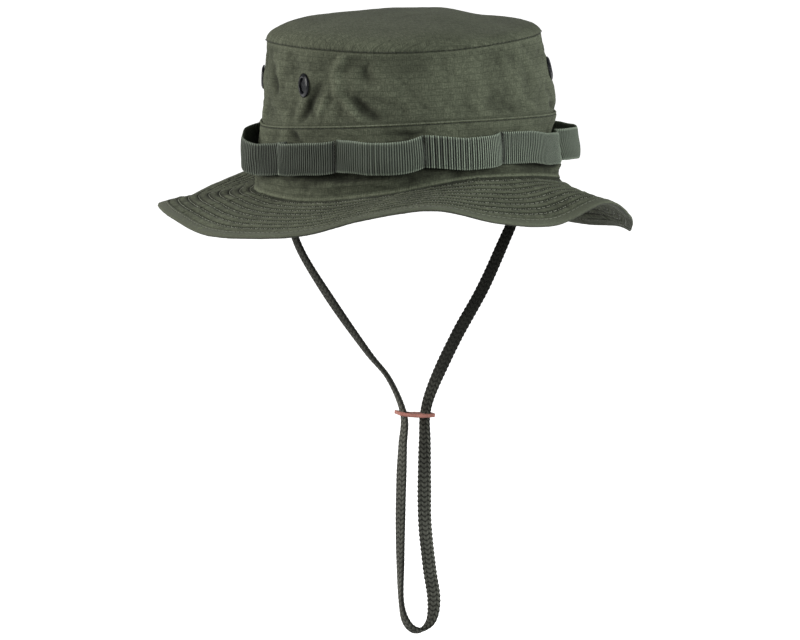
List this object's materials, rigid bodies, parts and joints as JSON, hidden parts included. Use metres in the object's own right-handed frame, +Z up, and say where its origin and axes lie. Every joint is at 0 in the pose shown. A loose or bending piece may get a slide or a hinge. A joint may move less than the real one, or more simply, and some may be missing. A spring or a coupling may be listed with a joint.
{
  "type": "boonie hat",
  "caption": "Soft boonie hat with a flat-topped crown, vents, a band of branch loops, a wavy stitched brim and a hanging chin strap with a sliding keeper.",
  "frame": {"origin": "centre of the head opening, on the level where the crown's side meets the brim at the hat's sides", "axes": "+Z up through the crown, -Y towards the front of the hat, +X towards the wearer's left"},
  "size_m": [0.292, 0.3013, 0.3858],
  "materials": {
    "ripstop_fabric": "olive drab ripstop cotton blend, matte, softly wrinkled",
    "branch_webbing": "ribbed green webbing with a slight sheen",
    "edge_binding": "folded bias tape, matte",
    "lining_tape": "plain twill tape and lining, matte",
    "size_label": "blank woven label, no text",
    "vent_metal": "black enamel over brass",
    "vent_screen": "fine black wire mesh",
    "strap_braid": "flat braided cord, dark olive, matte",
    "slider_leather": "reddish brown leather with raw edges"
  },
  "bodies": {
    "hat": {"branch_loop_01": "branch_webbing", "branch_loop_02": "branch_webbing", "branch_loop_03": "branch_webbing", "branch_loop_04": "branch_webbing", "branch_loop_05": "branch_webbing", "branch_loop_06": "branch_webbing", "branch_loop_07": "branch_webbing", "branch_loop_08": "branch_webbing", "branch_loop_09": "branch_webbing", "branch_loop_10": "branch_webbing", "brim_edge_binding": "edge_binding", "brim_interlining": "lining_tape", "crown_lower_band": "ripstop_fabric", "crown_seam_tape": "lining_tape", "crown_side": "ripstop_fabric", "crown_top": "ripstop_fabric", "eyelet_1_flange": "vent_metal", "eyelet_1_screen": "vent_screen", "eyelet_1_washer": "vent_metal", "eyelet_2_flange": "vent_metal", "eyelet_2_screen": "vent_screen", "eyelet_2_washer": "vent_metal", "eyelet_3_flange": "vent_metal", "eyelet_3_screen": "vent_screen", "eyelet_3_washer": "vent_metal", "eyelet_4_flange": "vent_metal", "eyelet_4_screen": "vent_screen", "eyelet_4_washer": "vent_metal", "size_label": "size_label", "strap_anchor_left": "lining_tape", "strap_anchor_right": "lining_tape", "sweatband": "lining_tape", "under_brim_front": "ripstop_fabric", "under_brim_rear": "ripstop_fabric", "upper_brim_front": "ripstop_fabric", "upper_brim_rear": "ripstop_fabric"},
    "strap": {"chin_strap": "strap_braid"},
    "slider": {"strap_slider": "slider_leather"}
  },
  "joints": [
    {"name": "chin_strap_swing", "type": "hinge", "parent": "hat", "child": "strap", "pos_m": [0, 0, 0.001], "axis": [1, 0, 0], "range_deg": [-70, 70]},
    {"name": "strap_slider_slide", "type": "slide", "parent": "strap", "child": "slider", "axis": [-0.0582, 0, -0.9983], "range_m": [0, 0.06], "deforming": ["chin_strap"]}
  ]
}
